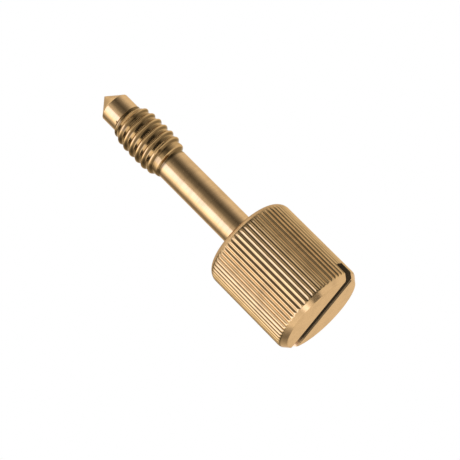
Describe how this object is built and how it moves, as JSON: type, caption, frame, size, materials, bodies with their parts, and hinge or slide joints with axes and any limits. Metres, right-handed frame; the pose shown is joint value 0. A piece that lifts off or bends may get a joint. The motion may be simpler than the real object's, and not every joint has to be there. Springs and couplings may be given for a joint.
{
  "type": "captive screw",
  "caption": "Turned brass captive thumb screw with a straight-knurled slotted head, a thin plain shank, a short thread and a pointed dog tip.",
  "frame": {"origin": "centre of the slotted end face, on which the screw stands", "axes": "+Z along the screw's axis from the slotted face to the tip; +X along the driver slot"},
  "size_m": [0.0088, 0.0088, 0.0284],
  "materials": {
    "brass": "turned, satin with bright highlights"
  },
  "bodies": {
    "root": {"captive_screw": "brass"}
  },
  "joints": []
}
